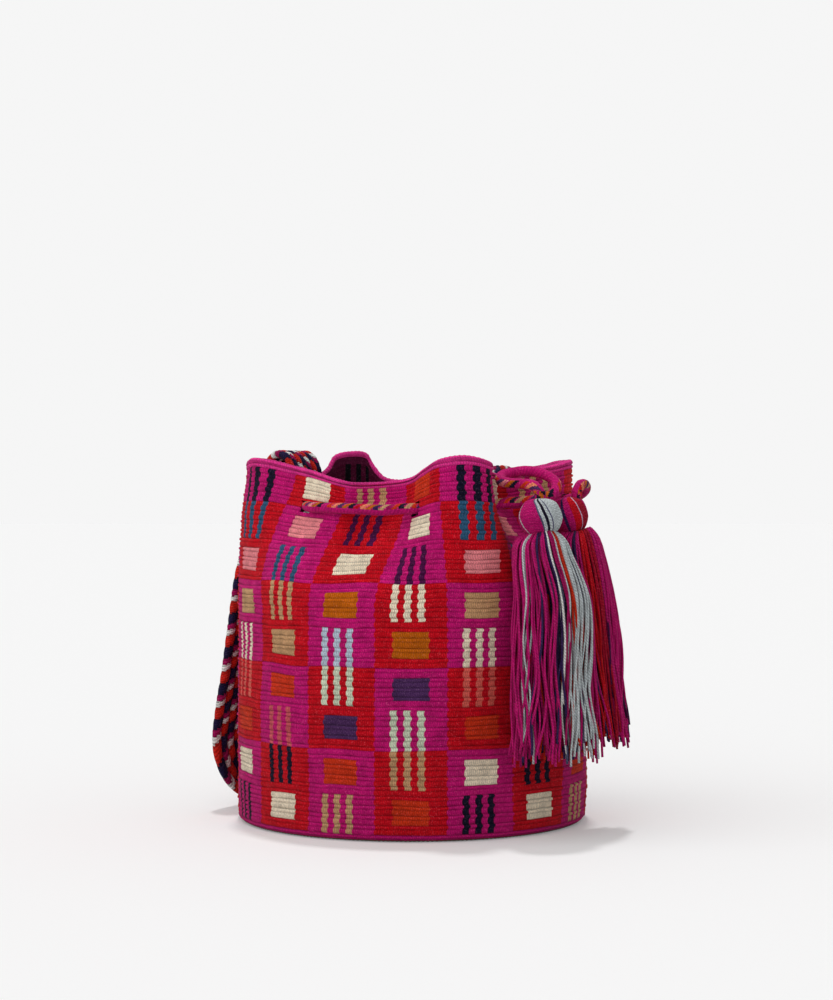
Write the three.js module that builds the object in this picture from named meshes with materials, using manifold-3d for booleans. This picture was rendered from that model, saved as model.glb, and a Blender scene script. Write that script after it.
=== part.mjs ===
// A crocheted mochila bag: a round pouch with a drawn mouth, a drawstring with two tassels, and a strap.
// Millimetres, +Z up. The bag stands on Z = 0 with its base centred on the origin, and its front faces -Y.
import * as THREE from "three";
import { mergeVertices } from "three/addons/utils/BufferGeometryUtils.js";
import Module from "manifold-3d";

const wasm = await Module();
wasm.setup();

// Pouch
const pouchRadius = 125.5; // outside of the wall, at half height
const rimHeight = 260; // the crests of the rim
const wallThickness = 4;
const baseThickness = 4;
const baseEdgeRadius = 15; // rounded edge between the base and the wall
const drawnFrom = 155; // the wall stands straight up to here, and is drawn in above it
const drawnEarly = 1.15; // the wall is drawn in fully a little below the rim
const blocksAround = 16; // blocks of the crochet pattern, each 16 stitches wide
const firstBlockTurn = -78.95; // degrees from the front to the start of block 0, positive towards +X
const pointsPerBlock = 5;
const drawnRows = [0, 0.22, 0.41, 0.57, 0.71, 0.83, 0.92]; // rows of points, as shares of the drawn height

// Drawstring
const cordDiameter = 7.5;
const eyeletClearance = 0.5; // between the cord and the crochet round it
const cordOut = 5.1; // from the wall to the cord's middle, where the strap crosses it
const cordSides = 8;
const cordSteps = 80;

// Strap
const strapWidth = 52;
const strapThickness = 5.5;
const strapGap = 0.4; // between the strap and the wall that it is sewn to
const strapSteps = 72;
const strapEdge = 0.6; // share of half the thickness that the edges are rounded by
const strapLow = strapWidth / 2 + 0.5; // its middle line where it stands on its edge
const strapBend = pouchRadius * 0.518; // the wall's bend across a strap's end
const seamThickness = 3;
const seamGap = 0.6; // between the seam's yarn and the wall, which leans in there
const seamBelow = 0.4; // from the strap's end to the seam
const seamLength = strapWidth - 4;
const seamSteps = 16;

// Tassels
const strandGap = 0.4; // between bundles of strands, and round the cord's end
const strandCore = 1.2; // the gap left along a tassel's middle
const bundleCorner = 14; // degrees between the corners of a bundle's section
const hangRise = 6; // from the top of a head up to the cord's bend, which the tassel swings at
const cordEndRise = 0.2; // from the top of a head up to the cord's end
const crownReach = Math.hypot(hangRise - cordEndRise, cordDiameter / 2) + strandGap;
const crownDepth = crownReach - hangRise; // the hollow in a head's top clears the cord's end as it swings
const crownRadius = Math.sqrt(crownReach ** 2 - hangRise ** 2);
const bindingThickness = 2.2;
const bindingHeight = 5;
const bindingSides = 28;

// The mouth, as [block, pull in from the body, turn in degrees, rise above rimHeight]. It is drawn in where
// the cord runs outside, and stands out and up where the cord runs inside.
const mouth = [
  [0, 4, 4, 0],
  [1, 24, 4, -7],
  [2, 25, 7, -17],
  [2.5, 35, 6, -18],
  [3, 36, 9, -15],
  [3.5, 21, 4, -9],
  [4, 7, -2, -2],
  [4.5, 0, -5, 0],
  [5, 6, -7, -4],
  [5.5, 25, -13, -9],
  [6, 32, -14, -12],
  [6.5, 26, -14, -9],
  [7, 15, -15, -5],
  [7.6, 9, -14, -1],
  [8.3, 15, -11, -3],
  [9, 18, -7, -8],
  [10, 23, -3, -14],
  [11, 26, 1, -17],
  [12, 19, 1, -12],
  [12.5, 6, 0, 7],
  [13, 8, 2, -10],
  [14, 7, 3, -10],
  [15, 4, 5, -6],
];

// The drawstring's route, from the front tassel, round its loose loop, in through the front right eyelet, all
// the way round the bag, and out through the last eyelet to the back tassel.
const cordRoute = [
  [87, -113, 230.2],
  [86.8, -112.9, 234.2],
  [83, -110.2, 239.4],
  [75, -104.5, 241],
  [68, -99.5, 241.2],
  [61.5, -92, 243],
  [62, -83, 246.5],
  [70, -77, 249],
  [81, -75, 250],
  [92, -77.5, 247.5],
  [99, -84, 242],
  [98, -91.5, 235.5],
  [90, -96, 231],
  [78, -96, 229],
  [64, -93.5, 228],
  [53, -95, 226],
  [43, -101.5, 228],
  [31, -108.5, 229.5],
  [18, -106, 228],
  [6, -100.5, 224.5],
  [-6, -103, 224],
  [-20, -103.5, 223],
  [-38, -99, 224],
  [-68, -79, 225],
  [-75, -61, 226],
  [-85, -50, 227],
  [-103, -37, 229],
  [-112, -21, 230],
  [-114, -2, 229],
  [-112, 14, 228],
  [-115, 27, 227],
  [-117, 40, 226],
  [-100, 72, 225],
  [-75, 97, 225],
  [-63, 99, 227],
  [-50, 98, 228],
  [-37, 99.5, 229],
  [-23, 97, 226],
  [5, 94, 221],
  [27, 103, 221],
  [84, 71, 224],
  [88, 50, 226],
  [94, 37, 227],
  [107, -12, 229],
  [106, -25, 229],
  [109, -36, 230],
  [116, -45, 232],
  [121.5, -56, 237],
  [120.5, -67, 240.6],
  [116.4, -77, 240],
  [114.1, -80.9, 235.4],
  [114, -81, 231.2],
];

// The strap's middle line, as [block, level, out from the wall, tilt, lean]. Its face turns by the tilt from
// level (0) to upwards (90) and towards the bag's middle (180), and the lean opens its forward edge. A flat
// band's middle stands off the hollow side of the wall by its bow.
const strapBow = (strapWidth / 2) ** 2 / (2 * strapBend);
const strapInside = -(wallThickness + strapGap + strapBow + strapThickness / 2);
const strapOverCord = cordOut + cordDiameter / 2 + strapGap + strapThickness / 2;
const strapRoute = [
  [13.6, rimHeight - 70, strapInside, 180, 0],
  [13.6, rimHeight - 38, strapInside, 180, 0],
  [13.6, rimHeight - 10, strapInside, 180, 0],
  [13.6, rimHeight + 6, strapInside, 175, 0],
  [13.6, rimHeight + 16, -7, 130, 0],
  [13.6, rimHeight + 18, 2, 85, 0],
  [13.6, rimHeight + 11, 10, 35, 0],
  [13.62, rimHeight - 6, strapOverCord, 5, 0],
  [13.65, rimHeight - 30, strapOverCord, 0, 0],
  [13.75, rimHeight - 65, 10, 0, 0],
  [13.95, 160, 8, 0, 4],
  [14.28, 130, 10, 0, 9],
  [14.5, 100, 12, 0, 14],
  [14.52, 72, 15.5, -4, 17],
  [14.35, 49, 17.5, -10, 17],
  [13.95, 33, 17, -14, 12],
  [13.4, strapLow + 1, 14, -12, 6],
  [12.75, strapLow, 10, -8, 0],
  [12.1, strapLow, 7, -4, 0],
  [11.4, strapLow + 0.5, 5.5, 0, 0],
  [10.7, strapLow + 0.5, 5, 0, 0],
  [10.15, 32, 6, 0, 0],
  [9.68, 45, 7, 0, 0],
  [9.33, 66, 8, 0, 0],
  [9.13, 102, 8, 0, 0],
  [9.2, 142, 8, 0, 0],
  [9.45, rimHeight - 78, 9, 0, 0],
  [9.75, rimHeight - 48, 12, 0, 0],
  [9.95, rimHeight - 18, strapOverCord, 5, 0],
  [10.05, rimHeight + 3, 11, 35, 0],
  [10.1, rimHeight + 11, 1, 85, 0],
  [10.1, rimHeight + 8.5, -9, 135, 0],
  [10.1, rimHeight - 4, strapInside, 175, 0],
  [10.1, rimHeight - 32, strapInside, 180, 0],
  [10.1, rimHeight - 70, strapInside, 180, 0],
];

// A tassel's outline, as [drop below the top of its head, half width, half depth]. The neck is round, and
// below it the skirt spreads like a fountain, flatter towards the wall that it hangs by.
const neckRadius = 9;
const neckDrop = 23.5; // from the top of the head to the binding
const neckEnd = neckDrop + bindingHeight;
const skirtFull = 85; // where the skirt has most of its width
const hemShare = 0.95; // of the hem's width, halfway down from there
const tasselOutline = [
  [0, 8.6, 8.6],
  [crownDepth, 10.4, 9.8],
  [3, 12, 11.2],
  [8, 15, 13.5],
  [13, 16, 14.5],
  [19, 13.5, 12.5],
  [neckDrop, neckRadius, neckRadius],
  [neckEnd, neckRadius, neckRadius],
  [neckEnd + 2, 15, 12],
  [neckEnd + 7, 19, 14],
  [55, 22, 15.5],
  [skirtFull, 25, 15.5],
];

// A tassel's top and foot are the middles of its head and hem, as [degrees from the front, out from the wall,
// below the rim's crests]. Its face turns out by faceTurn, in degrees from the front, and a bundle is
// [colour name, from, to, colour], in degrees round it from that side.
const tasselList = [
  {
    name: "tassel_front",
    top: [37.6, 17.1, 30],
    foot: [38, 19.1, 199],
    faceTurn: 38,
    halfWidth: 29,
    halfDepth: 16.5,
    bundles: [
      ["magenta", -190, -50, 0xc0207c],
      ["violet", -50, -18, 0x3a2a5e],
      ["silver", -18, 82, 0xc4c9cf],
      ["rust", 82, 170, 0xc4421c],
    ],
  },
  {
    name: "tassel_back",
    top: [54.6, 14.35, 29],
    foot: [63.4, 22.1, 192],
    faceTurn: 62,
    halfWidth: 26,
    halfDepth: 15.5,
    bundles: [
      ["magenta", -190, -40, 0xb51e74],
      ["crimson", -40, 50, 0xb0123c],
      ["plum", 50, 170, 0x6d1a5a],
    ],
  },
];

const smooth = (t) => t * t * (3 - 2 * t);
const share = (low, high, value) => THREE.MathUtils.clamp((value - low) / (high - low), 0, 1);

// Pull, turn and rise of the mouth at a place round the rim, on one smooth curve through the list above.
function mouthAt(block) {
  const count = mouth.length;
  const place = THREE.MathUtils.euclideanModulo(block, blocksAround);
  let here = count - 1;
  while (mouth[here][0] > place) here -= 1;
  const row = (step) => {
    const index = here + step;
    const turns = Math.floor(index / count);
    const [at, ...rest] = mouth[THREE.MathUtils.euclideanModulo(index, count)];
    return [at + turns * blocksAround, ...rest];
  };
  const [before, from, to, after] = [-1, 0, 1, 2].map(row);
  const span = to[0] - from[0];
  const t = (place - from[0]) / span;
  return [1, 2, 3].map((i) => {
    const slopeIn = ((to[i] - before[i]) / (to[0] - before[0])) * span;
    const slopeOut = ((after[i] - from[i]) / (after[0] - from[0])) * span;
    const rise = to[i] - from[i];
    const bend = 3 * rise - 2 * slopeIn - slopeOut;
    return from[i] + t * (slopeIn + t * (bend + t * (slopeIn + slopeOut - 2 * rise)));
  });
}

// A point of the wall's outside at a block and a level, which is its height on an even rim.
function wallPoint(block, level) {
  const [pull, turn, rise] = mouthAt(block);
  const up = share(drawnFrom, rimHeight, level);
  const drawn = smooth(Math.min(1, up * drawnEarly));
  const angle = THREE.MathUtils.degToRad(firstBlockTurn + (360 / blocksAround) * block + turn * drawn);
  const radius = pouchRadius - pull * drawn;
  return new THREE.Vector3(radius * Math.sin(angle), -radius * Math.cos(angle), level + rise * up * up);
}

// The level direction that points out of the wall there.
function wallOutward(block, level) {
  const step = 0.05;
  const along = wallPoint(block + step, level).sub(wallPoint(block - step, level));
  return new THREE.Vector3(along.y, -along.x, 0).normalize();
}

function besideWall(block, level, out, up = 0) {
  const place = wallPoint(block, level).addScaledVector(wallOutward(block, level), out);
  return place.setZ(place.z + up);
}

// Triangles that close a flat ring of points.
function capOf(ring, start, facing) {
  const middle = new THREE.Vector3();
  ring.forEach((p) => middle.addScaledVector(p, 1 / ring.length));
  const normal = new THREE.Vector3();
  ring.forEach((p, i) => {
    const next = ring[(i + 1) % ring.length];
    normal.add(p.clone().sub(middle).cross(next.clone().sub(middle)));
  });
  normal.normalize();
  const right = ring[0].clone().sub(middle).projectOnPlane(normal).normalize();
  const above = normal.clone().cross(right);
  const flat = ring.map((p) => {
    const arm = p.clone().sub(middle);
    return new THREE.Vector2(arm.dot(right), arm.dot(above));
  });
  return THREE.ShapeUtils.triangulateShape(flat, []).flatMap(([a, b, c]) =>
    facing > 0 ? [start + a, start + b, start + c] : [start + a, start + c, start + b],
  );
}

// A closed body through rings of points that all turn the same way, the first one facing back.
function loft(rings) {
  const count = rings[0].length;
  const position = rings.flat().flatMap((p) => [p.x, p.y, p.z]);
  const index = capOf(rings[0], 0, -1);
  for (let i = 0; i + 1 < rings.length; i += 1) {
    for (let j = 0; j < count; j += 1) {
      const a = i * count + j;
      const b = i * count + ((j + 1) % count);
      index.push(a, b, b + count, a, b + count, a + count);
    }
  }
  index.push(...capOf(rings[rings.length - 1], (rings.length - 1) * count, 1));
  const geometry = new THREE.BufferGeometry();
  geometry.setAttribute("position", new THREE.Float32BufferAttribute(position, 3));
  return geometry.setIndex(index);
}

function solidOf(geometry) {
  const bare = geometry.clone();
  bare.deleteAttribute("normal");
  bare.deleteAttribute("uv");
  const merged = mergeVertices(bare, 1e-4);
  const vertProperties = merged.attributes.position.array;
  return new wasm.Manifold(
    new wasm.Mesh({ numProp: 3, vertProperties, triVerts: new Uint32Array(merged.index.array) }),
  );
}

function geometryOf(solid) {
  const mesh = solid.getMesh();
  const geometry = new THREE.BufferGeometry();
  geometry.setAttribute("position", new THREE.BufferAttribute(new Float32Array(mesh.vertProperties), 3));
  return geometry.setIndex(new THREE.BufferAttribute(new Uint32Array(mesh.triVerts), 1));
}

// The rounded edge of a base, from the base outwards and up to the wall, as [radius, height].
function roundedEdge(radius, inset, floor, steps) {
  const centre = pouchRadius - inset - radius;
  return Array.from({ length: steps + 1 }, (_, i) => {
    const angle = (Math.PI / 2) * (i / steps);
    return [centre + radius * Math.sin(angle), floor + radius * (1 - Math.cos(angle))];
  });
}

// Wall, base and rounded rim in one piece, as the crochet is.
function pouchBody() {
  const count = blocksAround * pointsPerBlock;
  const ringOf = (level, out, up = 0) =>
    Array.from({ length: count }, (_, i) => besideWall(i / pointsPerBlock, level, out, up));
  const flatRing = ([radius, height]) => ringOf(0, radius - pouchRadius, height);
  const drawnLevels = drawnRows.map((part) => drawnFrom + part * (rimHeight - drawnFrom));
  const levels = [drawnFrom / 2, ...drawnLevels];
  const outside = roundedEdge(baseEdgeRadius, 0, 0, 4).map(flatRing);
  outside.push(...levels.map((level) => ringOf(level, 0)));
  const rimRadius = wallThickness / 2;
  const rim = [0, 45, 90, 135, 180].map((degrees) => {
    const angle = THREE.MathUtils.degToRad(degrees);
    return ringOf(rimHeight, rimRadius * (Math.cos(angle) - 1), rimRadius * (Math.sin(angle) - 1));
  });
  const inside = roundedEdge(baseEdgeRadius - wallThickness, wallThickness, baseThickness, 3).map(flatRing);
  inside.push(...levels.map((level) => ringOf(level, -wallThickness)));
  return loft([...outside, ...rim, ...inside.reverse()]);
}

function tubeAlong(path, diameter, steps) {
  const corners = Array.from({ length: cordSides }, (_, i) => {
    const angle = (2 * Math.PI * i) / cordSides;
    return new THREE.Vector2(Math.cos(angle), Math.sin(angle)).multiplyScalar(diameter / 2);
  });
  const options = { steps, extrudePath: path, bevelEnabled: false };
  return new THREE.ExtrudeGeometry(new THREE.Shape(corners), options);
}

// The middle of the strap at one row of its route, and the way that its face turns there.
function strapPlace([block, level, out, tilt, lean]) {
  const outward = wallOutward(block, level);
  const forward = new THREE.Vector3(-outward.y, outward.x, 0);
  const tilted = THREE.MathUtils.degToRad(tilt);
  const face = outward.multiplyScalar(Math.cos(tilted)).add(new THREE.Vector3(0, 0, Math.sin(tilted)));
  face.addScaledVector(forward, -Math.sin(THREE.MathUtils.degToRad(lean)));
  return { middle: besideWall(block, level, out), face };
}

// One flat band along its route, with rounded edges.
function strapBand() {
  const places = strapRoute.map(strapPlace);
  const path = new THREE.CatmullRomCurve3(places.map(({ middle }) => middle));
  const faces = new THREE.CatmullRomCurve3(places.map(({ face }) => face));
  const half = strapWidth / 2;
  const thick = strapThickness / 2;
  const edge = thick * strapEdge;
  const section = [
    [-half, -thick + edge],
    [-half + edge, -thick],
    [half - edge, -thick],
    [half, -thick + edge],
    [half, thick - edge],
    [half - edge, thick],
    [-half + edge, thick],
    [-half, thick - edge],
  ];
  const rings = Array.from({ length: strapSteps + 1 }, (_, i) => {
    const t = path.getUtoTmapping(i / strapSteps);
    const along = path.getTangent(t);
    const across = faces.getPoint(t).cross(along).normalize();
    const normal = along.clone().cross(across);
    const at = path.getPoint(t);
    return section.map(([x, y]) => at.clone().addScaledVector(across, x).addScaledVector(normal, y));
  });
  return loft(rings);
}

// The row of sewing yarn that lies along a strap's end and meets the wall beside its edges.
function seamYarn(end, next) {
  const [from, to] = [end, next].map((row) => strapPlace(row).middle);
  const along = to.clone().sub(from).normalize();
  const reach = (seamLength / 2 / pouchRadius) * (blocksAround / (2 * Math.PI));
  const places = [-1, -0.5, 0, 0.5, 1].map((step) => {
    const bow = strapBow * (1 - step * step);
    const out = -(wallThickness + seamGap + seamThickness / 2 + bow);
    const at = besideWall(end[0] + step * reach, end[1], out);
    const back = at.clone().sub(from).dot(along) + seamBelow + seamThickness / 2;
    return at.addScaledVector(along, -back);
  });
  return tubeAlong(new THREE.CatmullRomCurve3(places), seamThickness, seamSteps);
}

// A point given as [degrees from the front, out from the wall, below the rim's crests].
function hangPoint([turn, out, below]) {
  const angle = THREE.MathUtils.degToRad(turn);
  const radius = pouchRadius + out;
  return new THREE.Vector3(radius * Math.sin(angle), -radius * Math.cos(angle), rimHeight - below);
}

// The middle of a tassel at a drop below its top. It hangs plumb to the neck, and leans over its skirt.
function tasselMiddle({ top, foot }, drop) {
  const topPoint = hangPoint(top);
  const footPoint = hangPoint(foot);
  const length = topPoint.z - footPoint.z;
  const leaning = Math.max(0, drop - neckEnd) / (length - neckEnd);
  return new THREE.Vector3().lerpVectors(topPoint, footPoint, leaning).setZ(topPoint.z - drop);
}

// One ring of a bundle: along its outside from one edge to the other, and back along its inside.
function bundleRing(tassel, [drop, wide, deep], from, to) {
  const middle = tasselMiddle(tassel, drop);
  const turn = THREE.MathUtils.degToRad(tassel.faceTurn);
  const outward = new THREE.Vector3(Math.sin(turn), -Math.cos(turn), 0);
  const sideways = new THREE.Vector3(Math.cos(turn), Math.sin(turn), 0);
  const skin = (angle) => 1 / Math.hypot(Math.cos(angle) / deep, Math.sin(angle) / wide);
  const core = () => strandCore + (crownRadius - strandCore) * Math.max(0, 1 - drop / crownDepth);
  const arc = (radiusAt, steps) =>
    Array.from({ length: steps + 1 }, (_, i) => {
      const start = THREE.MathUtils.degToRad(from + ((to - from) * i) / steps);
      const side = i === 0 ? 1 : i === steps ? -1 : 0;
      const angle = start + (side * strandGap) / 2 / radiusAt(start);
      const arm = radiusAt(angle);
      return middle
        .clone()
        .addScaledVector(outward, arm * Math.cos(angle))
        .addScaledVector(sideways, arm * Math.sin(angle));
    });
  const corners = Math.max(4, Math.round((to - from) / bundleCorner));
  return [...arc(skin, corners), ...arc(core, 3).reverse()];
}

// The bundle of strands of one colour, from the hem to the top of the head.
function strandBundle(tassel, from, to) {
  const length = tassel.foot[2] - tassel.top[2];
  const hem = [
    [(skirtFull + length) / 2, tassel.halfWidth * hemShare, tassel.halfDepth],
    [length, tassel.halfWidth, tassel.halfDepth],
  ];
  const outline = [...tasselOutline, ...hem];
  return loft(outline.reverse().map((row) => bundleRing(tassel, row, from, to)));
}

// The yarn wound round a tassel's neck.
function neckBinding() {
  const inner = neckRadius + strandGap;
  const outer = inner + bindingThickness;
  const half = bindingHeight / 2 - strandGap;
  const bevel = bindingThickness / 3;
  const profile = [
    [inner, -half],
    [outer - bevel, -half],
    [outer, -half + bevel],
    [outer, half - bevel],
    [outer - bevel, half],
    [inner, half],
    [inner, -half],
  ];
  const turned = new THREE.LatheGeometry(profile.map(([x, y]) => new THREE.Vector2(x, y)), bindingSides);
  return turned.rotateX(Math.PI / 2);
}

const bag = new THREE.Group();

function addPiece(name, geometry, color, roughness) {
  const mesh = new THREE.Mesh(geometry, new THREE.MeshStandardMaterial({ color, roughness, metalness: 0 }));
  mesh.name = name;
  bag.add(mesh);
  return mesh;
}

const cordPath = new THREE.CatmullRomCurve3(
  cordRoute.map((place) => new THREE.Vector3(...place)),
  false,
  "centripetal",
);
const cordRoom = solidOf(tubeAlong(cordPath, cordDiameter + 2 * eyeletClearance, cordSteps));
addPiece("pouch", geometryOf(solidOf(pouchBody()).subtract(cordRoom)), 0xc31e78, 0.9);
addPiece("drawstring", tubeAlong(cordPath, cordDiameter, cordSteps), 0xb8206c, 0.85);
addPiece("strap", strapBand(), 0x7c1f58, 0.9);

const [leftEnd, leftNext] = strapRoute;
const [rightNext, rightEnd] = strapRoute.slice(-2);
addPiece("strap_seam_left", seamYarn(leftEnd, leftNext), 0x9c1a60, 0.9);
addPiece("strap_seam_right", seamYarn(rightEnd, rightNext), 0x9c1a60, 0.9);

tasselList.forEach((tassel) => {
  tassel.bundles.forEach(([colourName, from, to, colour]) => {
    addPiece(`${tassel.name}_${colourName}_strands`, strandBundle(tassel, from, to), colour, 0.8);
  });
  const binding = addPiece(`${tassel.name}_binding`, neckBinding(), 0xa31a66, 0.8);
  binding.position.copy(tasselMiddle(tassel, neckDrop + bindingHeight / 2));
});

export default bag;
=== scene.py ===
# A crocheted mochila bag: a round pouch with a drawn mouth, a braided drawstring with two tassels, and a strap.
# Metres, +Z up. The bag stands on Z = 0 with its base centred on the origin, and its front faces -Y.
import math

import bpy
import numpy as np
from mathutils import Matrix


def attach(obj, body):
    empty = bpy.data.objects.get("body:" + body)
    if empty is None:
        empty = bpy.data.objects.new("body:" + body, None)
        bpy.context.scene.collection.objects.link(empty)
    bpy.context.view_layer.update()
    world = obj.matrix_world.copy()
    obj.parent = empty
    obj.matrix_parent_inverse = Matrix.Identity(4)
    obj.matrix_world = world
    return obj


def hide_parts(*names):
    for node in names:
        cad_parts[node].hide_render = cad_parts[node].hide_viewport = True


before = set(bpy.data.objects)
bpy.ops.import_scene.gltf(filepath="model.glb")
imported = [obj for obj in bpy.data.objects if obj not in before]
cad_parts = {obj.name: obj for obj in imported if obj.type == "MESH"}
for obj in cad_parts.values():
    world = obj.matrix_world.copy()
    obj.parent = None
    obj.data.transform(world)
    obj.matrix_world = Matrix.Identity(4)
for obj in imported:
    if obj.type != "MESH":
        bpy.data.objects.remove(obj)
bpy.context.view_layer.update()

print("frame loaded")

# Colours, as they look on a screen
yarn = {
    "magenta": (192, 14, 108), "deepMagenta": (160, 10, 86), "red": (197, 3, 25), "crimson": (168, 5, 42),
    "ochre": (190, 94, 6), "purple": (75, 41, 88), "cream": (238, 222, 196), "mint": (208, 216, 190),
    "lightBlue": (184, 198, 214), "tan": (194, 150, 108), "orange": (204, 50, 18), "navy": (20, 14, 38),
    "steel": (42, 84, 116), "plum": (72, 10, 64), "pink": (228, 132, 138), "silver": (200, 208, 210),
    "white": (232, 232, 228), "peach": (232, 130, 96), "violet": (52, 30, 80), "slate": (88, 88, 118),
    "olive": (104, 76, 40), "lilac": (206, 180, 208), "paleRed": (218, 96, 84), "rust": (206, 46, 18),
    # The pale magenta is magenta with a painted highlight, for the rounds by the rim
    "dustyPink": (200, 84, 92), "paleMagenta": (208, 44, 128), "strapRed": (206, 34, 22),
    "strapBlue": (30, 22, 62),
}


def linear(name):
    # The named colour as light, for the shaders.
    return [(v / 255 / 12.92) if v <= 10 else ((v / 255 + 0.055) / 1.055) ** 2.4 for v in yarn[name]]


def smooth(t):
    return t * t * (3 - 2 * t)


def unit(v):
    return v / np.maximum(np.linalg.norm(v, axis=-1, keepdims=True), 1e-12)


def softNoise(points, size, seed):
    # Smooth variation of about that size, from -1 to 1, as a sum of seeded waves.
    random = np.random.default_rng(seed)
    total = np.zeros(points.shape[:-1])
    for _ in range(7):
        wave = random.normal(size=3)
        wave *= 2 * math.pi / (size * np.linalg.norm(wave)) * random.uniform(0.6, 1.4)
        total += np.sin(points @ wave + random.uniform(0, 2 * math.pi))
    return total / 3


def curveThrough(points, perSpan=24):
    # A smooth curve through the points, spaced by the square roots of their distances.
    points = np.asarray(points, float)
    ends = [2 * points[0] - points[1]], [2 * points[-1] - points[-2]]
    p = np.vstack([ends[0], points, ends[1]])
    t = np.arange(perSpan)[:, None] / perSpan
    out = []
    for i in range(1, len(p) - 2):
        a, b, c = [max(np.linalg.norm(p[i + k, :3] - p[i + k - 1, :3]) ** 0.5, 1e-6) for k in (0, 1, 2)]
        into = ((p[i] - p[i - 1]) / a - (p[i + 1] - p[i - 1]) / (a + b) + (p[i + 1] - p[i]) / b) * b
        away = ((p[i + 1] - p[i]) / b - (p[i + 2] - p[i]) / (b + c) + (p[i + 2] - p[i + 1]) / c) * b
        rise = p[i + 1] - p[i]
        out.append(p[i] + t * (into + t * (3 * rise - 2 * into - away + t * (into + away - 2 * rise))))
    return np.vstack(out + [p[-2:-1]])


def evenly(curve, step):
    # The curve's points again, a step apart along it, and how far along each one is.
    along = np.concatenate([[0], np.cumsum(np.linalg.norm(np.diff(curve[:, :3], axis=0), axis=1))])
    places = np.linspace(0, along[-1], max(2, int(round(along[-1] / step))) + 1)
    columns = [np.interp(places, along, curve[:, k]) for k in range(curve.shape[1])]
    return np.stack(columns, axis=1), places


def alongFrames(path, first):
    # Two directions across a path that turn with it and never twist, from a first one.
    tangent = unit(np.gradient(path, axis=0))
    side = np.zeros_like(path)
    now = np.asarray(first, float)
    for i, t in enumerate(tangent):
        now = now - t * (now @ t)
        now = now / np.linalg.norm(now)
        side[i] = now
    return tangent, side, np.cross(tangent, side)


def makePiece(name, points, quads, colours, uvs, caps=(), capColour=None):
    # A mesh object from points, four-sided faces with a colour each, and the flat faces that close its ends.
    mesh = bpy.data.meshes.new(name)
    mesh.from_pydata(points.reshape(-1, 3).tolist(), [], quads.tolist() + [list(c) for c in caps])
    corners = np.repeat(colours, 4, axis=0)
    if len(caps):
        capRows = np.repeat(capColour, [len(c) for c in caps], axis=0)
        corners = np.vstack([corners, capRows])
    rgba = np.concatenate([corners, np.ones((len(corners), 1))], axis=1)
    layer = mesh.color_attributes.new("yarnColour", "FLOAT_COLOR", "CORNER")
    layer.data.foreach_set("color", rgba.astype(np.float32).ravel())
    flat = np.zeros((len(corners), 2), np.float32)
    flat[:uvs.size // 2] = uvs.reshape(-1, 2)
    mesh.uv_layers.new(name="lay").data.foreach_set("uv", flat.ravel())
    mesh.polygons.foreach_set("use_smooth", np.ones(len(mesh.polygons), bool))
    mesh.update()
    piece = bpy.data.objects.new(name, mesh)
    bpy.context.scene.collection.objects.link(piece)
    return piece


def gridQuads(rows, columns, wrap=True, start=0):
    # Faces between the rows of a grid of points, which closes on itself round each row.
    j = np.arange(columns if wrap else columns - 1)
    i = np.arange(rows - 1)[:, None]
    k = (j + 1) % columns
    quads = np.stack([i * columns + j, i * columns + k, (i + 1) * columns + k, (i + 1) * columns + j], axis=-1)
    return quads + start


def tubes(paths, radii, side, up, sides, along):
    # Round tubes along several paths of the same number of points, with their faces, lays and end caps.
    count, rings = paths.shape[:2]
    turn = np.linspace(0, 2 * math.pi, sides, endpoint=False)
    arms = side[..., None, :] * np.cos(turn)[:, None] + up[..., None, :] * np.sin(turn)[:, None]
    points = paths[..., None, :] + arms * radii[..., None, None]
    quads = np.stack([gridQuads(rings, sides, start=n * rings * sides) for n in range(count)])
    u = np.broadcast_to(along[:, :, None], (count, rings, sides))
    v = np.arange(sides) / sides
    uv = np.zeros((count, rings - 1, sides, 4, 2))
    uv[..., 0, 0] = uv[..., 1, 0] = u[:, :-1]
    uv[..., 2, 0] = uv[..., 3, 0] = u[:, 1:]
    uv[..., 0, 1] = uv[..., 3, 1] = v
    uv[..., 1, 1] = uv[..., 2, 1] = v + 1 / sides
    caps = []
    for n in range(count):
        first = n * rings * sides
        caps.append(range(first + sides - 1, first - 1, -1))
        caps.append(range(first + (rings - 1) * sides, first + rings * sides))
    return points, quads, uv, caps


def addNode(material, kind, values=(), **links):
    # A shader node with its plain values set, and its inputs joined to other nodes' outputs.
    tree = material.node_tree
    node = tree.nodes.new(kind)
    for key, value in dict(values).items():
        if isinstance(key, int) or key in node.inputs:
            node.inputs[key].default_value = value
        else:
            setattr(node, key, value)
    for key, source in links.items():
        socket = node.inputs[int(key[1:])] if key[0] == "i" and key[1:].isdigit() else node.inputs[key]
        tree.links.new(source, socket)
    return node


# Painted shade and painted highlight on a pair of crochet rounds, from its foot to its top: a broad round, a crease and
# a narrow raised round, darkest in the creases and lightest on the narrow round's top
paintedCreaseShading = [(0.0, 0.52), (0.05, 0.78), (0.13, 0.98), (0.48, 1.0), (0.565, 0.86), (0.605, 0.66), (0.66, 1.0),
               (0.8, 1.14), (0.9, 1.0), (0.965, 0.68), (1.0, 0.52)]


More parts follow.
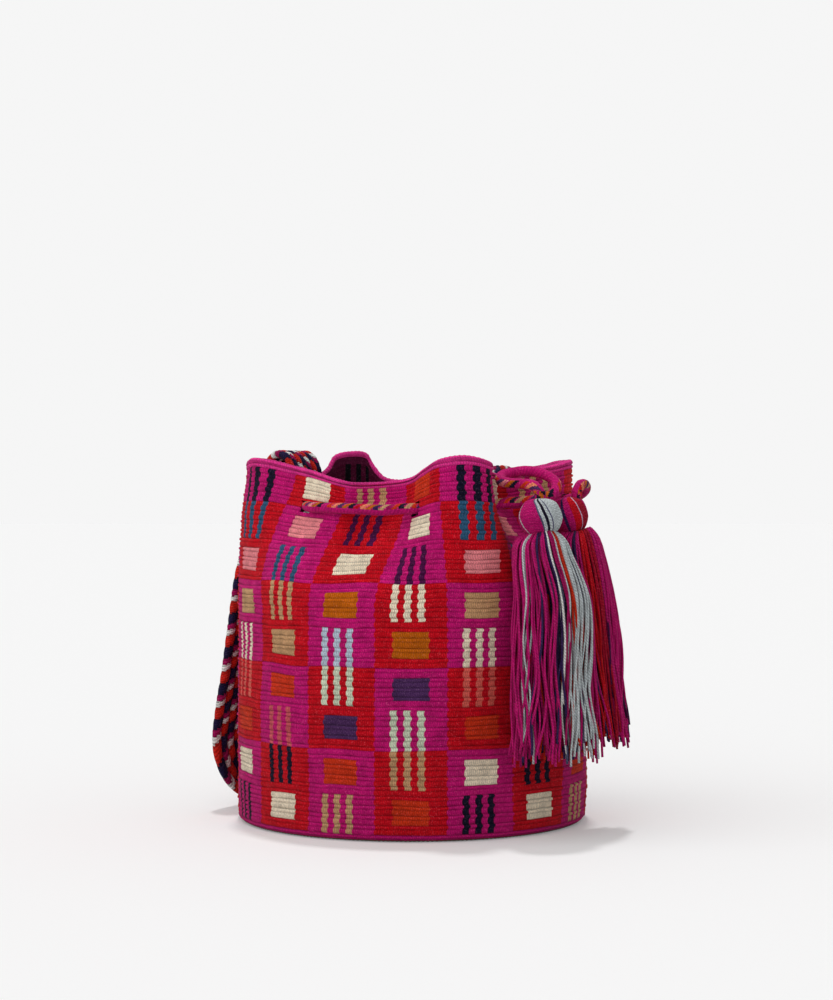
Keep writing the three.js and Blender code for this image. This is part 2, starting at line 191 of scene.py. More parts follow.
def yarnMaterial(name, kind, pitch=(1, 1), lean=0.3, relief=0.00025, fuzz=0.05, shading=(0.7, 1.1),
                 fluff=0.1):
    # Cotton yarn: each face's own colour, mottled by the fibres, with painted shade in the grooves of a twist or
    # between stitches, and the twist or stitches in relief.
    material = bpy.data.materials.new(name)
    material.use_nodes = True
    tree = material.node_tree
    shader = tree.nodes["Principled BSDF"]
    shader.inputs["Roughness"].default_value = 0.88
    shader.inputs["Specular IOR Level"].default_value = 0.12
    shader.inputs["Sheen Weight"].default_value = fuzz
    shader.inputs["Sheen Roughness"].default_value = 0.4
    colour = addNode(material, "ShaderNodeAttribute", {"attribute_name": "yarnColour"})
    place = addNode(material, "ShaderNodeTexCoord")
    lay = addNode(material, "ShaderNodeUVMap", {"uv_map": "lay"})
    axes = addNode(material, "ShaderNodeSeparateXYZ", i0=lay.outputs[0])
    fibres = addNode(material, "ShaderNodeTexNoise", {"Scale": 1100.0, "Detail": 3.0}, Vector=place.outputs["Object"])
    patches = addNode(material, "ShaderNodeTexNoise", {"Scale": 130.0, "Detail": 2.0}, Vector=place.outputs["Object"])

    def math1(operation, first, second):
        node = addNode(material, "ShaderNodeMath", {"operation": operation})
        for socket, value in zip(node.inputs, (first, second)):
            if isinstance(value, (int, float)):
                socket.default_value = value
            else:
                tree.links.new(value, socket)
        return node.outputs[0]

    across = math1("MULTIPLY", axes.outputs["X"], 1 / pitch[0])
    upward = math1("MULTIPLY", axes.outputs["Y"], 1 / pitch[1])
    if kind == "stitches":
        leg = math1("FRACT", math1("ADD", across, math1("MULTIPLY", upward, lean)), 0.0)
        ridge = math1("POWER", math1("SINE", math1("MULTIPLY", leg, math.pi), 0.0), 0.6)
    else:
        ridge = math1("SINE", math1("MULTIPLY", math1("ADD", across, upward), 2 * math.pi), 0.0)
        ridge = math1("ADD", math1("MULTIPLY", ridge, 0.5), 0.5)
    # Painted shade and painted highlight: the colour is darker in the grooves between stitch legs or twist ridges and
    # lighter on their tops
    shade = addNode(material, "ShaderNodeMapRange", {"To Min": shading[0], "To Max": shading[1]}, Value=ridge)
    grain = addNode(material, "ShaderNodeMapRange", {"From Min": 0.3, "From Max": 0.7, "To Min": 0.74, "To Max": 1.24},
                    Value=fibres.outputs["Fac"])
    dye = addNode(material, "ShaderNodeMapRange", {"From Min": 0.3, "From Max": 0.7, "To Min": 0.84, "To Max": 1.14},
                  Value=patches.outputs["Fac"])
    tone = math1("MULTIPLY", math1("MULTIPLY", shade.outputs[0], grain.outputs[0]), dye.outputs[0])
    # Painted shade in the creases between rounds and a painted highlight on the narrow rounds, along lines that wander
    # a little
    if kind == "stitches":
        wander = math1("MULTIPLY", math1("SUBTRACT", patches.outputs["Fac"], 0.5), 0.24)
        place = math1("FRACT", math1("ADD", math1("MULTIPLY", upward, 0.5), wander), 0.0)
        crease = addNode(material, "ShaderNodeValToRGB", Fac=place)
        stops = crease.color_ramp.elements
        stops[0].position, stops[0].color = 0, (paintedCreaseShading[0][1],) * 3 + (1,)
        stops[1].position, stops[1].color = 1, (paintedCreaseShading[-1][1],) * 3 + (1,)
        for where, value in paintedCreaseShading[1:-1]:
            stops.new(where).color = (value, value, value, 1)
        tone = math1("MULTIPLY", tone, crease.outputs["Color"])
    scaled = addNode(material, "ShaderNodeVectorMath", {"operation": "SCALE"}, i0=colour.outputs["Color"], Scale=tone)
    pale = addNode(material, "ShaderNodeMapRange", {"From Min": 0.57, "From Max": 0.76, "To Min": 0.0, "To Max": fluff},
                   Value=fibres.outputs["Fac"])
    fluffed = addNode(material, "ShaderNodeMix", {"data_type": "RGBA", 7: (0.8, 0.55, 0.66, 1)}, i0=pale.outputs[0],
                      i6=scaled.outputs[0])
    tree.links.new(fluffed.outputs[2], shader.inputs["Base Color"])
    height = math1("ADD", ridge, math1("MULTIPLY", fibres.outputs["Fac"], 0.8))
    bump = addNode(material, "ShaderNodeBump", {"Strength": 1.0, "Distance": relief}, Height=height)
    tree.links.new(bump.outputs[0], shader.inputs["Normal"])
    return material


# Camera, at the photograph's place: level, in front of the bag and a little above its middle
cameraPlace = {"x": 0.0033, "distance": 1.6, "height": 0.230, "lens": 79.2}
cameraData = bpy.data.cameras.new("camera")
cameraData.lens = cameraPlace["lens"]
camera = bpy.data.objects.new("camera", cameraData)
camera.location = (cameraPlace["x"], -cameraPlace["distance"], cameraPlace["height"])
camera.rotation_euler = (math.radians(90), 0, 0)
bpy.context.scene.collection.objects.link(camera)
bpy.context.scene.camera = camera

# Drawstring, from the front tassel, round its loop, through the eyelets and out to the back tassel
drawstring = {"diameter": 0.0075, "step": 0.0012, "sides": 20, "spot": 0.0042, "spotSides": 5, "lobes": 5, "lay": 0.0095}
cordRoute = [
    (0.087, -0.113, 0.2302), (0.0868, -0.1129, 0.2342), (0.083, -0.1102, 0.2394), (0.075, -0.1045, 0.241),
    (0.068, -0.0995, 0.2412), (0.0615, -0.092, 0.243), (0.062, -0.083, 0.2465), (0.070, -0.077, 0.249),
    (0.081, -0.075, 0.250), (0.092, -0.0775, 0.2475), (0.099, -0.084, 0.242), (0.098, -0.0915, 0.2355),
    (0.090, -0.096, 0.231), (0.078, -0.096, 0.229), (0.064, -0.0935, 0.228), (0.053, -0.095, 0.226),
    (0.043, -0.1015, 0.228), (0.031, -0.1085, 0.2295), (0.018, -0.106, 0.228), (0.006, -0.1005, 0.2245),
    (-0.006, -0.103, 0.224), (-0.020, -0.1035, 0.223), (-0.038, -0.099, 0.224), (-0.068, -0.079, 0.225),
    (-0.075, -0.061, 0.226), (-0.085, -0.050, 0.227), (-0.103, -0.037, 0.229), (-0.112, -0.021, 0.230),
    (-0.114, -0.002, 0.229), (-0.112, 0.014, 0.228), (-0.115, 0.027, 0.227), (-0.117, 0.040, 0.226),
    (-0.100, 0.072, 0.225), (-0.075, 0.097, 0.225), (-0.063, 0.099, 0.227), (-0.050, 0.098, 0.228),
    (-0.037, 0.0995, 0.229), (-0.023, 0.097, 0.226), (0.005, 0.094, 0.221), (0.027, 0.103, 0.221),
    (0.084, 0.071, 0.224), (0.088, 0.050, 0.226), (0.094, 0.037, 0.227), (0.107, -0.012, 0.229),
    (0.106, -0.025, 0.229), (0.109, -0.036, 0.230), (0.116, -0.045, 0.232), (0.1215, -0.056, 0.237),
    (0.1205, -0.067, 0.2406), (0.1164, -0.077, 0.240), (0.1141, -0.0809, 0.2354), (0.114, -0.081, 0.2312),
]
spotColours = ["navy", "ochre", "purple", "peach", "orange", "magenta", "navy", "ochre", "pink", "purple",
               "rust", "tan", "navy", "orange", "deepMagenta", "tan", "violet", "ochre", "peach", "red"]
braidMaterial = yarnMaterial("braidedCotton", "twist", pitch=(0.0026, 0.25), relief=0.0001, shading=(0.82, 1.08))


def braidedCord(name, path, along, lineSide):
    # A round braid whose line of coloured spots follows the lineSide directions.
    sides, spotSides = drawstring["sides"], drawstring["spotSides"]
    tangent = unit(np.gradient(path, axis=0))
    side = unit(lineSide - tangent * np.sum(lineSide * tangent, axis=1, keepdims=True))
    up = np.cross(tangent, side)
    turn = np.arange(sides) * 2 * math.pi / sides
    lay = 2 * math.pi * along[:, None] / drawstring["lay"]
    lobes = drawstring["lobes"]
    weave = np.maximum(np.cos(lobes * turn + lay), np.cos(lobes * turn - lay))
    radii = drawstring["diameter"] / 2 * (0.97 + 0.03 * weave)
    arms = side[:, None] * np.cos(turn)[:, None] + up[:, None] * np.sin(turn)[:, None]
    points = path[:, None] + arms * radii[..., None]
    quads = gridQuads(len(path), sides)
    colours = np.tile(np.array(linear("magenta")), (len(path) - 1, sides, 1))
    offset = (np.arange(sides) + spotSides // 2) % sides
    for j in np.flatnonzero(offset < spotSides):
        places = (along[:-1] + 0.0011 * offset[j]) / drawstring["spot"]
        which = np.floor(places).astype(int) % len(spotColours)
        inside = np.mod(places, 1) < 0.86
        colours[inside, j] = np.array([linear(c) for c in spotColours])[which[inside]]
    uv = np.zeros((len(path) - 1, sides, 4, 2))
    uv[..., 0, 0] = uv[..., 1, 0] = along[:-1, None]
    uv[..., 2, 0] = uv[..., 3, 0] = along[1:, None]
    uv[..., 0, 1] = uv[..., 3, 1] = np.arange(sides) / sides
    uv[..., 1, 1] = uv[..., 2, 1] = (np.arange(sides) + 1) / sides
    last = len(path) - 1
    caps = [range(sides - 1, -1, -1), range(last * sides, last * sides + sides)]
    piece = makePiece(name, points, quads.reshape(-1, 4), colours.reshape(-1, 3), uv, caps, [linear("magenta")] * 2)
    piece.data.materials.append(braidMaterial)
    return piece


cordPath, cordAlong = evenly(curveThrough(cordRoute), drawstring["step"])
cordLength = cordAlong[-1]
spotLine = [  # share of the cord's length, and the side that the line of spots lies on there
    (0.0, (-0.3, -0.9, -0.3)), (0.023, (-0.5, -0.8, -0.3)), (0.045, (-0.9, -0.4, -0.2)), (0.057, (-1, 0, -0.3)),
    (0.069, (-0.4, 0.6, -0.7)), (0.082, (0, 0.3, -1)), (0.096, (0.2, 0.2, -1)), (0.11, (0.9, 0.1, -0.3)),
    (0.121, (0.8, -0.5, 0.3)), (0.133, (0.3, -0.8, 0.5)), (0.148, (0, -0.9, 0.4)), (0.178, (-0.3, -0.7, 0.5)),
    (0.209, (0, -0.8, 0.6)), (0.30, (-0.2, -0.75, 0.6)), (0.42, (-0.8, 0.1, 0.6)), (0.6, (-0.3, 0.7, 0.6)),
    (0.75, (0.6, 0.5, 0.6)), (0.9, (0.8, -0.2, 0.5)), (1.0, (0.7, -0.6, -0.3)),
]
keys = np.array([k for k, _ in spotLine])
lineSide = np.stack([np.interp(cordAlong / cordLength, keys, [v[a] for _, v in spotLine]) for a in range(3)], axis=1)
drawstringPiece = braidedCord("drawstringBraid", cordPath, cordAlong, lineSide)
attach(drawstringPiece, "bag")
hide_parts("drawstring")
print("drawstring", round(float(cordLength), 4))

# Pouch: the wall's form, as it stands in the frame
pouch = {
    "radius": 0.1255, "rimHeight": 0.260, "wall": 0.004, "edgeRadius": 0.006, "drawnFrom": 0.155, "drawnEarly": 1.15,
    "blocks": 16, "firstBlockTurn": -78.95, "halfStitches": 32,  # half stitches to a block
    "roundHeight": 0.0033125, "firstRound": 0.0047, "rounds": 77, "roundsPerBlock": 17, "edgeRounds": 2,
    "splitRound": 42, "zigzag": 0.36,  # half stitches that the narrow rounds lie to one side
    "sag": 0.0012, "wobble": 0.0005, "eyeletHalfWidth": 0.11, "eyeletHalfHeight": 0.0048,
    # The last two values are painted shade that darkens the inside of the bag, and painted light that makes the wall
    # lighter towards the top
    "leftTuck": 0.0045, "paintedInsideShade": 0.13, "paintedTopLight": 0.2,
}
mouthShape = np.array([  # block, pull in, turn in degrees, rise
    (0, 0.0045, 4, 0), (1, 0.024, 4, -0.007), (2, 0.025, 7, -0.017), (2.5, 0.035, 6, -0.018), (3, 0.036, 9, -0.015),
    (3.5, 0.021, 4, -0.009), (4, 0.007, -2, -0.002), (4.5, 0, -5, 0), (5, 0.006, -7, -0.004),
    (5.5, 0.025, -13, -0.009), (6, 0.032, -14, -0.012), (6.5, 0.026, -14, -0.009), (7, 0.015, -15, -0.005),
    (7.6, 0.009, -14, -0.001), (8.3, 0.015, -11, -0.001), (9, 0.018, -7, -0.004), (10, 0.023, -3, -0.010),
    (11, 0.026, 1, -0.016), (11.7, 0.023, 1, -0.015), (11.95, 0.018, 1, -0.012), (12.1, 0.012, 1, -0.003),
    (12.28, 0.008, 0, 0.0062), (12.6, 0.006, 0, 0.0075), (12.85, 0.006, 1, 0.004), (13.0, 0.007, 1, -0.005),
    (13.2, 0.008, 2, -0.011), (14, 0.007, 3, -0.010), (15, 0.0035, 5, -0.006),
])
stretch = np.array([  # block, and how many blocks on its stitches lie where the mouth is drawn in
    (0, -0.36), (0.45, -0.32), (0.64, -0.12), (1, 0), (3.6, 0), (4.0, 0.01), (4.27, 0.13), (4.46, 0.23), (4.64, 0.28), (5.0, 0.2), (5.6, 0.06), (6.5, 0.2),
    (7.25, 0.34), (8.0, 0.2), (9, 0), (13.5, 0), (16, -0.36),
])
halfwaySlide = np.array([  # block, and how many blocks on its stitches lie halfway up the drawn part
    (0, 0), (0.45, 0), (0.64, -0.12), (1.0, -0.22), (1.5, -0.1), (2.2, 0), (16, 0),
])


def mouthAt(block):
    # Pull, turn and rise of the mouth at places round the rim, on one smooth curve through the rows.
    count, around = len(mouthShape), pouch["blocks"]
    place = np.mod(block, around)
    here = np.searchsorted(mouthShape[:, 0], place, side="right") - 1

    def row(step):
        index = here + step
        chosen = mouthShape[np.mod(index, count)].copy()
        chosen[..., 0] += np.floor_divide(index, count) * around
        return chosen

    before, start, end, after = row(-1), row(0), row(1), row(2)
    span = end[..., :1] - start[..., :1]
    t = (place[..., None] - start[..., :1]) / span
    into = (end - before) / (end[..., :1] - before[..., :1]) * span
    away = (after - start) / (after[..., :1] - start[..., :1]) * span
    rise = end - start
    value = start + t * (into + t * (3 * rise - 2 * into - away + t * (into + away - 2 * rise)))
    return value[..., 1], value[..., 2], value[..., 3]


def wallPoint(block, level):
    # The wall's outside. Level is the height on an even rim, and below the rounded edge it runs in under the base.
    block, level = np.broadcast_arrays(np.asarray(block, float), np.asarray(level, float))
    pull, turn, rise = mouthAt(block)
    edge = pouch["edgeRadius"]
    up = np.clip((level - pouch["drawnFrom"]) / (pouch["rimHeight"] - pouch["drawnFrom"]), 0, 1)
    drawn = smooth(np.minimum(1, up * pouch["drawnEarly"]))
    nearLeft = np.exp(-(np.mod(block + 8.4, pouch["blocks"]) - 8) ** 2)
    tuck = pouch["leftTuck"] * nearLeft * smooth(np.clip((level - 0.216) / 0.044, 0, 1))
    angle = np.radians(pouch["firstBlockTurn"] + 360 / pouch["blocks"] * block + turn * drawn)
    round_ = np.clip((edge - level) / edge, 0, math.pi / 2)
    under = np.maximum(0, edge - edge * math.pi / 2 - level)
    radius = pouch["radius"] - pull * drawn - tuck - edge * (1 - np.cos(round_)) - under
    height = np.where(level > edge, level + rise * up * up, edge * (1 - np.sin(round_)))
    return np.stack([radius * np.sin(angle), -radius * np.cos(angle), height], axis=-1)


def wallOutward(block, level, step=0.05):
    along = wallPoint(block + step, level) - wallPoint(block - step, level)
    return unit(np.stack([along[..., 1], -along[..., 0], np.zeros(along.shape[:-1])], axis=-1))


# The pattern, as blocks of red and magenta with bars and a rectangle in each. The columns come in pairs.
chart = {  # row: (odd columns are magenta, first pair's colours, second pair's colours)
    "low": (True, {"rectangle": "cream", "redBars": "navy", "magentaBars": "navy"},
            {"rectangle": "orange", "redBars": "tan", "magentaBars": "tan"}),
    "lowMiddle": (False, {"rectangle": "orange", "redBars": "paleRed", "magentaBars": "dustyPink"},
                  {"rectangle": "purple", "redBars": "mint", "magentaBars": "mint"}),
    "middle": (True, {"rectangle": "tan", "redBars": "tan", "magentaBars": "cream"},
               {"rectangle": "ochre", "redBars": "cream", "magentaBars": "lightBlue"}),
    "highMiddle": (False, {"rectangle": "pink", "redBars": "steel", "magentaBars": "steel"},
                   {"rectangle": "cream", "redBars": "plum", "magentaBars": "plum"}),
    "top": (True, {"rectangle": "cream", "redBars": "navy", "magentaBars": "navy"},
            {"rectangle": "orange", "redBars": "tan", "magentaBars": "tan"}),
}
motif = {
    "bars": [(7, 10), (13, 16), (19, 22)], "rectangle": (8, 24),  # half stitches from the block's left edge
    "magentaBars": (0, 8), "magentaRectangle": (10, 15), "redBars": (9, 17), "redRectangle": (2, 7),  # rounds
    "rimRounds": 2,
}


def stitchColour(column, round_):
    # The yarn's name for half stitches round the bag and rounds up its wall, as arrays of names.
    names = np.full(column.shape, "magenta", dtype=object)
    block = column // pouch["halfStitches"]
    inBlock = column % pouch["halfStitches"]
    inRow = round_ % pouch["roundsPerBlock"]
    bars = np.zeros(column.shape, bool)
    for start, end in motif["bars"]:
        bars |= (inBlock >= start) & (inBlock < end)
    rectangle = (inBlock >= motif["rectangle"][0]) & (inBlock < motif["rectangle"][1])
    for index, (oddMagenta, first, second) in enumerate(chart.values()):
        here = (round_ // pouch["roundsPerBlock"] == index) & (round_ >= 0)
        odd = block % 2 == 0
        isMagenta = odd if oddMagenta else ~odd
        names[here & ~isMagenta] = "red"
        for pair, colours in enumerate((first, second)):
            mine = here & ((block // 2) % 2 == pair)
            for ground, chosen in (("magenta", mine & isMagenta), ("red", mine & ~isMagenta)):
                low, high = motif[ground + "Bars"]
                names[chosen & bars & (inRow >= low) & (inRow < high)] = colours[ground + "Bars"]
                low, high = motif[ground + "Rectangle"]
                names[chosen & rectangle & (inRow >= low) & (inRow < high)] = colours["rectangle"]
    # The top rounds by the rim get a painted highlight, as a paler magenta
    names[round_ >= pouch["rounds"] - motif["rimRounds"]] = "paleMagenta"
    names[round_ < -pouch["edgeRounds"]] = "olive"
    return names


def colourTable(names):
    flat, inverse = np.unique(names.astype(str).ravel(), return_inverse=True)
    return np.array([linear(n) for n in flat])[inverse].reshape(names.shape + (3,))


# Rows of points up one round, as (share of the round, height of the relief): a broad round and a narrow one
broadRound = [(0.0, -0.00062), (0.24, 0.0), (0.72, 0.00008)]
narrowRound = [(0.0, -0.0004), (0.34, 0.00042), (0.72, 0.0004)]
broadShare = 1.2  # a broad round takes this much of its own height and its neighbour's rest


def roundRows(first, last):
    # Every row of points from one round's start to another's: its level, relief, side shift and round.
    rows = []
    for k in range(first, last):
        narrow = k % 2 == 1
        start = k if not narrow else k - 1 + broadShare
        height = 2 - broadShare if narrow else broadShare
        for share, relief in narrowRound if narrow else broadRound:
            shift = 0 if share == 0 else (pouch["zigzag"] if narrow else -pouch["zigzag"])
            rows.append((pouch["firstRound"] + (start + height * share) * pouch["roundHeight"], relief, shift, k))
    return rows


def finishSurface(points, relief, facing, seed=11):
    # Pushes the rows out or in by their relief, with the unevenness of hand work and a soft sag.
    across = np.roll(points, -1, axis=1) - np.roll(points, 1, axis=1)
    along = np.gradient(points, axis=0)
    normal = unit(np.cross(across, along))
    sag = pouch["sag"] * softNoise(points, 0.11, seed) + 0.0003 * softNoise(points, 0.02, seed + 1)
    standing = smooth(np.clip(points[..., 2] / 0.03, 0, 1))
    uneven = 1 + 0.5 * softNoise(points, 0.012, seed + 2)
    moved = points + normal * (relief * uneven + facing * sag * standing)[..., None]
    moved[..., 2] += pouch["wobble"] * softNoise(points, 0.05, seed + 3) * standing
    return moved


def pouchPiece(name, rows, columns, colourRows, holes=()):
    # A crocheted surface from rows of (block shift, level, out, up, relief), one colour for each face.
    perBlock = columns // pouch["blocks"]
    block = np.arange(columns) / perBlock
    shift = np.array([r["shift"] for r in rows])[:, None] / pouch["halfStitches"]
    level = np.array([r["level"] for r in rows])[:, None]
    out = np.array([r["out"] for r in rows])[:, None]
    rise = np.array([r["up"] for r in rows])[:, None]
    places = block[None, :] + shift
    up = np.clip((level - pouch["drawnFrom"]) / (pouch["rimHeight"] - pouch["drawnFrom"]), 0, 1)
    around = np.mod(places, pouch["blocks"])
    slide = np.interp(around, stretch[:, 0], stretch[:, 1]) * smooth(np.minimum(1, up * 1.4))
    places = places + slide + np.interp(around, halfwaySlide[:, 0], halfwaySlide[:, 1]) * np.sin(math.pi * up)
    points = wallPoint(places, level)
    points = points + wallOutward(places, level) * out[..., None]
    points[..., 2] += rise
    relief = np.array([r["relief"] for r in rows])[:, None] + 0.00012 * np.cos(np.pi * np.arange(columns))[None, :]
    facing = np.interp(out, [-0.0043, 0.0003], [-1, 1])  # the inside moves the same way as the outside
    points = finishSurface(points, np.broadcast_to(relief, points.shape[:2]), facing)
    quads = gridQuads(len(rows), columns)
    stitch = np.arange(columns) * pouch["halfStitches"] / perBlock / 2
    rounds = np.array([r["lay"] for r in rows])
    uv = np.zeros((len(rows) - 1, columns, 4, 2))
    width = stitch[1] - stitch[0]
    uv[..., 0, 0] = uv[..., 3, 0] = stitch
    uv[..., 1, 0] = uv[..., 2, 0] = stitch + width
    uv[..., 0, 1] = uv[..., 1, 1] = rounds[:-1, None]
    uv[..., 2, 1] = uv[..., 3, 1] = rounds[1:, None]
    keep = np.ones(quads.shape[:2], bool)
    middle = places[:-1] + 0.5 / perBlock
    height = ((level[1:] + level[:-1]) / 2)
    for holeBlock, holeLevel in holes:
        near = np.abs((middle - holeBlock + 8) % 16 - 8) < pouch["eyeletHalfWidth"]
        keep &= ~(near & (np.abs(height - holeLevel) < pouch["eyeletHalfHeight"]))
    # Painted light: each face's colour is made lighter with its height, towards the rim
    high = smooth(np.clip(height / pouch["rimHeight"], 0, 1))
    colours = colourRows * (0.93 + pouch["paintedTopLight"] * high)[..., None]
    piece = makePiece(name, points, quads[keep], colours[keep], uv[keep])
    piece.data.materials.append(crochetMaterial)
    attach(piece, "bag")
    return piece, points


def eyeletPlaces():
    # Where the drawstring goes through the wall: the block and level of each crossing.
    table = np.arange(0, pouch["blocks"], 0.01)
    level = 0.230
    ring = wallPoint(table, level) - wallOutward(table, level) * pouch["wall"] / 2
    outward = wallOutward(table, level)
    found = []
    previous = None
    for point in cordPath[60:-40]:
        near = int(np.argmin(np.linalg.norm(ring[:, :2] - point[:2], axis=1)))
        outside = (point - ring[near]) @ outward[near] > 0
        if previous is not None and outside != previous:
            found.append((table[near], level + point[2] - ring[near][2]))
        previous = outside
    return found


crochetMaterial = yarnMaterial("crochetCotton", "stitches", pitch=(0.5, 1), lean=0.45, relief=0.0002, shading=(0.7, 1.12))
eyelets = eyeletPlaces()
print("eyelets", [(round(float(b), 2), round(float(l), 4)) for b, l in eyelets])
aroundAll = pouch["blocks"] * pouch["halfStitches"]
columnIndex = np.arange(aroundAll)


def outerRows(first, last):
    return [{"shift": s, "level": level, "out": 0, "up": 0, "relief": relief, "lay": k + 0.0, "round": k}
            for level, relief, s, k in roundRows(first, last)]


def layBetween(rows):
    # The place along the rounds that each row has in the stitches' lay.
    for row in rows:
        row["lay"] = (row["level"] - pouch["firstRound"]) / pouch["roundHeight"]
    return rows


# The lower wall
wallRows = layBetween(outerRows(-pouch["edgeRounds"], pouch["splitRound"]) + outerRows(pouch["splitRound"], pouch["splitRound"] + 1)[:1])
for row in wallRows[:2]:
    row["round"] -= 1  # the first rows of faces are the base's last round
wallRounds = np.array([r["round"] for r in wallRows[:-1]])
wallColours = colourTable(stitchColour(*np.broadcast_arrays(columnIndex[None, :], wallRounds[:, None])))
pouchWall, _ = pouchPiece("pouchWall", wallRows, aroundAll, wallColours)
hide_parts("pouch")
print("pouch wall")

# The mouth: the upper wall, the rounded rim, and the inside
rimRadius = 0.0023
mouthRows = layBetween(outerRows(pouch["splitRound"], pouch["rounds"]))
mouthRows = [r for r in mouthRows if r["level"] < pouch["rimHeight"] - rimRadius]
for degrees in (0, 30, 60, 90, 120, 150, 180):
    angle = math.radians(degrees)
    out = rimRadius * math.cos(angle) - pouch["wall"] / 2
    mouthRows.append({"shift": 0, "level": pouch["rimHeight"], "out": out, "up": rimRadius * (math.sin(angle) - 1),
                      "relief": 0.0001, "lay": pouch["rounds"] + degrees / 90, "round": pouch["rounds"]})
for k in range(pouch["rounds"] - 1, -1, -1):
    high = k > pouch["rounds"] - 26
    if not high and k % 2:
        continue
    steps = ((0.5, -0.0003), (0.0, 0.0003)) if high else ((0.0, 0.0),)
    for share, relief in steps:
        level = pouch["firstRound"] + (k + share) * pouch["roundHeight"]
        if level > pouch["rimHeight"] - rimRadius - 0.001 or level < 0.008:
            continue
        mouthRows.append({"shift": 0, "level": level, "out": -pouch["wall"], "up": 0, "relief": relief,
                          "lay": k + share, "round": k})
mouthRounds = np.array([r["round"] for r in mouthRows[:-1]])
mouthColours = colourTable(stitchColour(*np.broadcast_arrays(columnIndex[None, :], mouthRounds[:, None])))
isInside = np.array([r["out"] < -0.0035 and r["up"] == 0 for r in mouthRows[:-1]])
mouthColours[isInside] *= pouch["paintedInsideShade"]  # painted shade: the inside keeps the pattern's colours, darkened where the bag's inside lies in shadow
pouchMouth, mouthPoints = pouchPiece("pouchMouth", mouthRows, aroundAll, mouthColours, eyelets)
print("pouch mouth")

# The base: rounds from the edge in to the middle, and the rows for a floor inside, from which no piece is made
baseRows = []
baseColumns = aroundAll // 2
baseTop = pouch["firstRound"] - pouch["edgeRounds"] * pouch["roundHeight"]
baseEnd = pouch["edgeRadius"] * (1 - math.pi / 2) - (pouch["radius"] - pouch["edgeRadius"]) + 0.002
baseCount = int((baseTop - baseEnd) / pouch["roundHeight"])
for k in range(baseCount, -1, -1):
    for share, relief in ((0.5, 0.0001), (0.0, -0.0005)):
        level = baseTop - (k + share) * pouch["roundHeight"]
        baseRows.append({"shift": 0, "level": level, "out": 0, "up": 0.0004, "relief": relief, "lay": -k - share, "round": k})
baseNames = np.array([["olive" if r["round"] == 0 else "magenta"] for r in baseRows[:-1]], dtype=object)
baseColours = colourTable(np.broadcast_to(baseNames, (len(baseRows) - 1, baseColumns)))
pouchBase, _ = pouchPiece("pouchBase", baseRows, baseColumns, baseColours)
floorRows = []
for k in range(34):
    level = 0.0085 - k * pouch["roundHeight"]
    floorRows.append({"shift": 0, "level": max(level, baseEnd), "out": -pouch["wall"] if k < 3 else 0, "up": 0.0,
                      "relief": 0.0003 if k % 2 else -0.0003, "lay": -k, "round": k})
print("pouch base")

# Strap
strap = {
    "width": 0.052, "thickness": 0.0055, "ropes": 7, "ropeSides": 14, "step": 0.00135, "gap": 0.0004, "cordOut": 0.0051,
    "cells": [("white", 0.0038), ("strapRed", 0.0084), ("strapBlue", 0.0078), ("deepMagenta", 0.0042)],  # colour and length
    "slant": 0.55, "offset": 0.58,  # slope of the cells, and how far each rope's cells lie past its neighbour's
    "pinch": 0.36, "pinchFrom": 0.215, "pinchFull": 0.255,  # how much narrower it folds over the rim, and where
}
strapBow = (strap["width"] / 2) ** 2 / (2 * pouch["radius"] * 0.518)
strapInside = -(pouch["wall"] + strap["gap"] + strapBow + strap["thickness"] / 2)
strapOverCord = strap["cordOut"] + drawstring["diameter"] / 2 + strap["gap"] + strap["thickness"] / 2
strapLow = strap["width"] / 2 + 0.0005
rim = pouch["rimHeight"]
strapRoute = [  # block, level, out from the wall, tilt and lean in degrees
    (13.6, rim - 0.070, strapInside, 180, 0), (13.6, rim - 0.038, strapInside, 180, 0),
    (13.62, rim - 0.010, strapInside, 180, 0), (13.65, rim + 0.005, strapInside, 175, 0),
    (13.66, rim + 0.0138, -0.007, 130, 0), (13.67, rim + 0.0158, 0.002, 85, 0), (13.68, rim + 0.0095, 0.010, 35, 0),
    (13.7, rim - 0.006, strapOverCord, 5, 0), (13.8, rim - 0.030, strapOverCord, 0, 0),
    (14.0, rim - 0.065, 0.010, 0, 0), (14.28, 0.165, 0.0095, 0, 2), (14.45, 0.130, 0.010, 0, 5),
    (14.56, 0.098, 0.0108, 0, 10), (14.58, 0.070, 0.0140, -4, 16), (14.52, 0.046, 0.0170, -6, 17),
    (14.22, 0.0305, 0.0175, -10, 13), (13.58, strapLow + 0.001, 0.0145, -10, 6), (12.75, strapLow, 0.010, -8, 0),
    (12.1, strapLow, 0.007, -4, 0), (11.4, strapLow + 0.0005, 0.0055, 0, 0), (10.7, strapLow + 0.0005, 0.005, 0, 0),
    (10.15, 0.032, 0.006, 0, 0), (9.68, 0.045, 0.007, 0, 0), (9.33, 0.066, 0.008, 0, 0), (9.13, 0.102, 0.008, 0, 0),
    (9.2, 0.142, 0.008, 0, 0), (9.45, rim - 0.078, 0.009, 0, 0), (9.75, rim - 0.048, 0.012, 0, 0),
    (9.95, rim - 0.020, strapOverCord, 5, 0), (10.05, rim - 0.002, 0.011, 35, 0), (10.1, rim + 0.0040, 0.001, 85, 0),
    (10.1, rim + 0.0022, -0.009, 135, 0), (10.1, rim - 0.006, strapInside, 175, 0),
    (10.1, rim - 0.032, strapInside, 180, 0), (10.1, rim - 0.070, strapInside, 180, 0),
]

